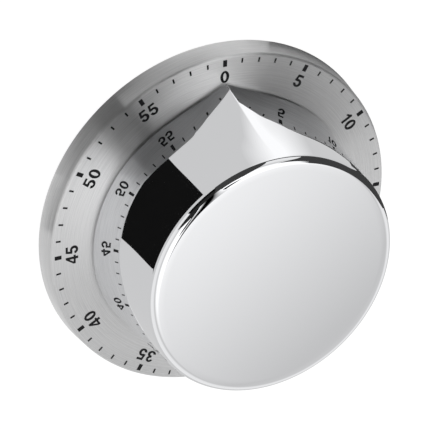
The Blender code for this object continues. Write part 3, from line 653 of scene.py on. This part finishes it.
def over_the_timer(bearing, low, high, half_width, distance, steps=12):
    """Columns of a strip that runs over the timer, from an elevation on one side to one past the top."""
    angle = math.radians(bearing)
    across = Vector((-math.sin(angle), math.cos(angle), 0.0))
    arch = [Vector((radius * math.cos(angle), radius * math.sin(angle), z))
            for radius, z in standing(low, high, distance, CARD_STEPS)]
    offsets = [half_width * (2.0 * i / steps - 1.0) for i in range(steps + 1)]
    return [[point + offset * across for point in arch] for offset in offsets]


def make_floor_and_backdrop():
    """The white surroundings that the camera sees and the polish doesn't."""
    bpy.ops.mesh.primitive_plane_add(size=6.0, location=(0.0, 0.0, CAD_BOX[0][2]))
    floor = bpy.context.object
    floor.name = "floor"
    floor.data.materials.append(glow_material("white_floor", 0.9, 0.2))
    only_camera_sees(floor)
    bpy.ops.mesh.primitive_uv_sphere_add(segments=32, ring_count=16, radius=2.9)
    backdrop = bpy.context.object
    backdrop.name = "backdrop"
    backdrop.data.materials.append(glow_material("white_backdrop", 1.05))
    only_camera_sees(backdrop)


def make_tent():
    """A soft tent, pale at the sides, white higher up, with its open top dark."""
    world = bpy.data.worlds.new("tent")
    bpy.context.scene.world = world
    world.use_nodes = True
    tree = world.node_tree
    split = tree.nodes.new("ShaderNodeSeparateXYZ")
    tree.links.new(tree.nodes.new("ShaderNodeTexCoord").outputs["Generated"], split.inputs[0])
    ramp = tree.nodes.new("ShaderNodeValToRGB")
    tree.links.new(split.outputs[2], ramp.inputs["Fac"])
    stops = ((0.0, 0.6), (0.5, 0.6), (0.7, 0.4), (0.85, 0.8), (0.97, 1.0), (0.98, 0.0))
    elements = ramp.color_ramp.elements
    while len(elements) < len(stops):
        elements.new(0.5)
    for element, (height, glow) in zip(elements, stops):
        element.position = height
        element.color = (glow, glow, glow, 1.0)
    tree.links.new(ramp.outputs["Color"], tree.nodes["Background"].inputs["Color"])
    tree.nodes["Background"].inputs["Strength"].default_value = TENT_STRENGTH


def make_cards():
    """What the polish mirrors: a pale table, white lights and black flags round and over the timer.

    Bearings and elevations are in degrees. Where cards overlap as the timer sees them, the one in front
    stands a little nearer.
    """
    near = CASE_RADIUS + 4.0 * MM
    table = CAD_BOX[0][2]
    card("pale_table", round_the_timer(0.0, 360.0, [(0.0, table), (1.5, table)]), TABLE_GLOW)
    card("left_flag", mirrored_in_drum(125.0, 163.0, near, 0.07), 0.006)
    card("white_reflector", round_the_timer(45.0, 90.0, [(near, TABLE_Z), (0.44, TABLE_Z)]), 1.1, feather=10)

    card("top_flag", round_the_timer(75.0, 115.0, standing(0.0, 65.0, 0.42)), 0.05)
    lying = [(CASE_RADIUS + 0.5 * MM, 2.0 * TABLE_Z), (0.41, 2.0 * TABLE_Z)]
    card("right_flag", round_the_timer(-15.0, 15.0, lying + standing(0.0, 60.0, 0.41)[1:]), 0.05)
    card("far_right_flag", round_the_timer(10.0, 50.0, standing(0.0, 55.0, 0.4)), 0.05)
    card("horizon_flag", round_the_timer(50.0, 80.0, standing(0.0, 10.0, 0.39)), 0.05)

    card("camera_gap", round_the_timer(110.0, 155.0, standing(30.0, 85.0, 0.43)), 0.02)
    card("left_low_flag", round_the_timer(105.0, 140.0, standing(5.0, 30.0, 0.43)), 0.005)
    card("overhead_gap", over_the_timer(120.0, 60.0, 118.0, 0.045, 0.4), 0.0, feather=4, edge_glow=1.2)

    beside = [(CASE_RADIUS + 0.2 * MM, 4.0 * TABLE_Z), (near, 4.0 * TABLE_Z)]
    card("right_side_flag", round_the_timer(-40.0, 70.0, beside), 0.02)
    card("top_side_light", round_the_timer(70.0, 110.0, beside), 1.0, feather=6)
    card("left_side_flag", round_the_timer(110.0, 155.0, beside), 0.2, feather=6)
    card("left_side_light", round_the_timer(155.0, 230.0, beside), 0.9)


def make_camera():
    """A long lens from above the timer's left, rolled so that the 0 mark stands at the top."""
    bearing = math.radians(CAMERA_BEARING)
    elevation = math.radians(CAMERA_ELEVATION)
    away = Vector((math.cos(bearing) * math.cos(elevation), math.sin(bearing) * math.cos(elevation),
                   math.sin(elevation)))
    data = bpy.data.cameras.new("camera")
    data.lens = LENS
    data.sensor_width = 36.0
    data.clip_start = 0.01
    camera = bpy.data.objects.new("camera", data)
    bpy.context.scene.collection.objects.link(camera)
    aim = (-away).to_track_quat("-Z", "Y").to_matrix().to_4x4()
    roll = Matrix.Rotation(math.radians(CAMERA_ROLL), 4, "Z")
    camera.matrix_world = Matrix.Translation(CAMERA_AIM + away * CAMERA_DISTANCE) @ aim @ roll
    bpy.context.scene.camera = camera


def dress_cad_nodes():
    """Give the pieces that keep their CAD shape a finished material, by material slot."""
    looks = {
        "steel": metal_material("bright_steel", (0.62, 0.63, 0.65), 0.3),
        "brass": metal_material("stamped_brass", (0.72, 0.53, 0.24), 0.32),
        "spring_steel": metal_material("blued_steel", (0.16, 0.19, 0.28), 0.35),
        "black_plastic": moulded_material("moulded_black", (0.022, 0.022, 0.024), 0.5, 2500.0, 0.00003),
        "rubber": moulded_material("matt_rubber", (0.028, 0.028, 0.028), 0.8, 1800.0, 0.00004),
        "ferrite": moulded_material("sintered_ferrite", (0.07, 0.068, 0.066), 0.65, 1500.0, 0.00003),
    }
    for part in frame["record"]["subparts"]:
        node = frame["nodes"][part["node"]]
        if part["material_slot"] in looks:
            node.data.materials.clear()
            node.data.materials.append(looks[part["material_slot"]])


bpy.context.scene.view_settings.view_transform = "Standard"
make_camera()
make_floor_and_backdrop()
make_tent()
make_cards()
dress_cad_nodes()
make_dial_case(brushed_ring_material("brushed_steel_rings", (0.74, 0.742, 0.75), 0.38, 1.0))
ink = ink_material()
make_ticks(ink)
make_numbers(ink)
make_knob(chrome_material())
